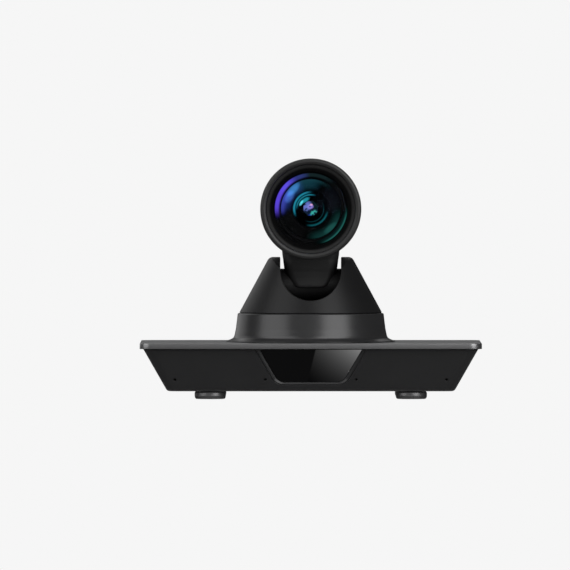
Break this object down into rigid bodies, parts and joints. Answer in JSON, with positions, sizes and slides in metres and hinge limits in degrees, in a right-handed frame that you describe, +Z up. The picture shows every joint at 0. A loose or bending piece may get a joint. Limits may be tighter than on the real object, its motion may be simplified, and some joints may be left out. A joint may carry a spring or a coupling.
{
  "type": "ptz camera",
  "caption": "Pan-tilt-zoom conference camera: round lens head on a neck in a cone-shaped fork, turning on a wide low base.",
  "frame": {"origin": "on the surface the feet stand on, under the pan axis", "axes": "+X to the right seen from the front, the lens looks along -Y at rest, +Z up"},
  "size_m": [0.24, 0.144, 0.1689],
  "materials": {
    "housing_plastic": "fine matte texture",
    "plate_metal": "dark satin, fine brushed",
    "bezel_plastic": "satin bevel",
    "window_gloss": "high gloss, infrared-pass",
    "dark_component": "moulded",
    "led_lens": "tinted clear",
    "circuit_board": "solder mask",
    "foot_rubber": "smooth grey, satin",
    "brass_insert": "turned",
    "dial_plastic": "moulded",
    "panel_metal": "powder coat",
    "port_steel": "plated shell",
    "terminal_plastic": "moulded",
    "rocker_plastic": "moulded",
    "collar_satin": "satin sheen",
    "drive_aluminium": "machined",
    "anodised_black": "black anodised",
    "bearing_steel": "ground",
    "motor_steel": "drawn can",
    "pulley_brass": "turned",
    "belt_rubber": "toothed",
    "pulley_plastic": "moulded",
    "yoke_plastic": "fine matte texture",
    "bracket_steel": "pressed sheet",
    "head_plastic": "fine matte texture",
    "ring_plastic": "satin",
    "baffle_plastic": "fine concentric steps",
    "lens_glass": "blue-green coated",
    "barrel_plastic": "anti-reflection black",
    "iris_black": "matte black"
  },
  "bodies": {
    "base": {"base_housing": "housing_plastic", "top_plate": "plate_metal", "ir_window_bezel": "bezel_plastic", "ir_window": "window_gloss", "ir_receiver": "dark_component", "status_led": "led_lens", "mic_board": "circuit_board", "main_board": "circuit_board", "foot_1": "foot_rubber", "foot_2": "foot_rubber", "foot_3": "foot_rubber", "foot_4": "foot_rubber", "tripod_insert": "brass_insert", "address_switch": "dark_component", "rear_panel": "panel_metal", "lan_port": "port_steel", "hdmi_port": "port_steel", "usb_port": "port_steel", "serial_port": "dark_component", "audio_jack": "dark_component", "dc_jack": "dark_component", "terminal_block": "terminal_plastic", "switch_frame": "dark_component", "pan_collar": "collar_satin", "pan_post": "drive_aluminium", "pan_bearing_lower": "bearing_steel", "pan_bearing_upper": "bearing_steel", "pan_motor": "motor_steel", "pan_belt": "belt_rubber"},
    "rocker": {"power_rocker": "rocker_plastic"},
    "dial": {"address_dial": "dial_plastic"},
    "pan_drive_pulley": {"pan_motor_pulley": "pulley_brass"},
    "yoke": {"yoke_shell": "yoke_plastic", "turntable": "anodised_black", "pan_pulley": "pulley_plastic", "upright_left": "bracket_steel", "upright_right": "bracket_steel", "tilt_bearing_left": "bearing_steel", "tilt_bearing_right": "bearing_steel", "tilt_motor": "motor_steel", "tilt_belt": "belt_rubber"},
    "tilt_drive_pulley": {"tilt_motor_pulley": "pulley_brass"},
    "head": {"neck_housing": "head_plastic", "head_barrel": "head_plastic", "head_rear_cover": "head_plastic", "lens_ring": "ring_plastic", "baffle_ring": "baffle_plastic", "front_element": "lens_glass", "lens_barrel": "barrel_plastic", "lens_retainer": "barrel_plastic", "second_element": "lens_glass", "iris_plate": "iris_black", "sensor_board": "circuit_board", "tilt_shaft_left": "bearing_steel", "tilt_shaft_right": "bearing_steel", "tilt_pulley": "pulley_plastic"},
    "zoom_group": {"zoom_cell": "barrel_plastic", "zoom_lens": "lens_glass"},
    "focus": {"focus_group": "barrel_plastic"}
  },
  "joints": [
    {"name": "pan", "type": "hinge", "parent": "base", "child": "yoke", "pos_m": [0, 0, 0.0598], "axis": [0, 0, 1], "range_deg": [-170, 170]},
    {"name": "tilt", "type": "hinge", "parent": "yoke", "child": "head", "pos_m": [0, 0, 0.08], "axis": [-1, 0, 0], "range_deg": [-30, 30]},
    {"name": "pan_drive", "type": "hinge", "parent": "base", "child": "pan_drive_pulley", "pos_m": [-0.032, 0, 0.0476], "axis": [0, 0, 1], "range_deg": [-681, 681]},
    {"name": "tilt_drive", "type": "hinge", "parent": "yoke", "child": "tilt_drive_pulley", "pos_m": [-0.0282, 0.0248, 0.0695], "axis": [-1, 0, 0], "range_deg": [-76, 76]},
    {"name": "zoom", "type": "slide", "parent": "head", "child": "zoom_group", "axis": [0, 1, 0], "range_m": [-0.0045, 0.02]},
    {"name": "focus_slide", "type": "slide", "parent": "head", "child": "focus", "axis": [0, 1, 0], "range_m": [-0.003, 0.006]},
    {"name": "power_switch", "type": "hinge", "parent": "base", "child": "rocker", "pos_m": [0.066, 0.053, 0.0224], "axis": [1, 0, 0], "range_deg": [0, 16]},
    {"name": "address_select", "type": "hinge", "parent": "base", "child": "dial", "pos_m": [0.045, -0.025, 0.008], "axis": [0, 0, 1], "continuous": true}
  ],
  "couplings": [
    {"joint": "pan_drive", "follows": "pan", "ratio": 4},
    {"joint": "tilt_drive", "follows": "tilt", "ratio": 2.5}
  ]
}
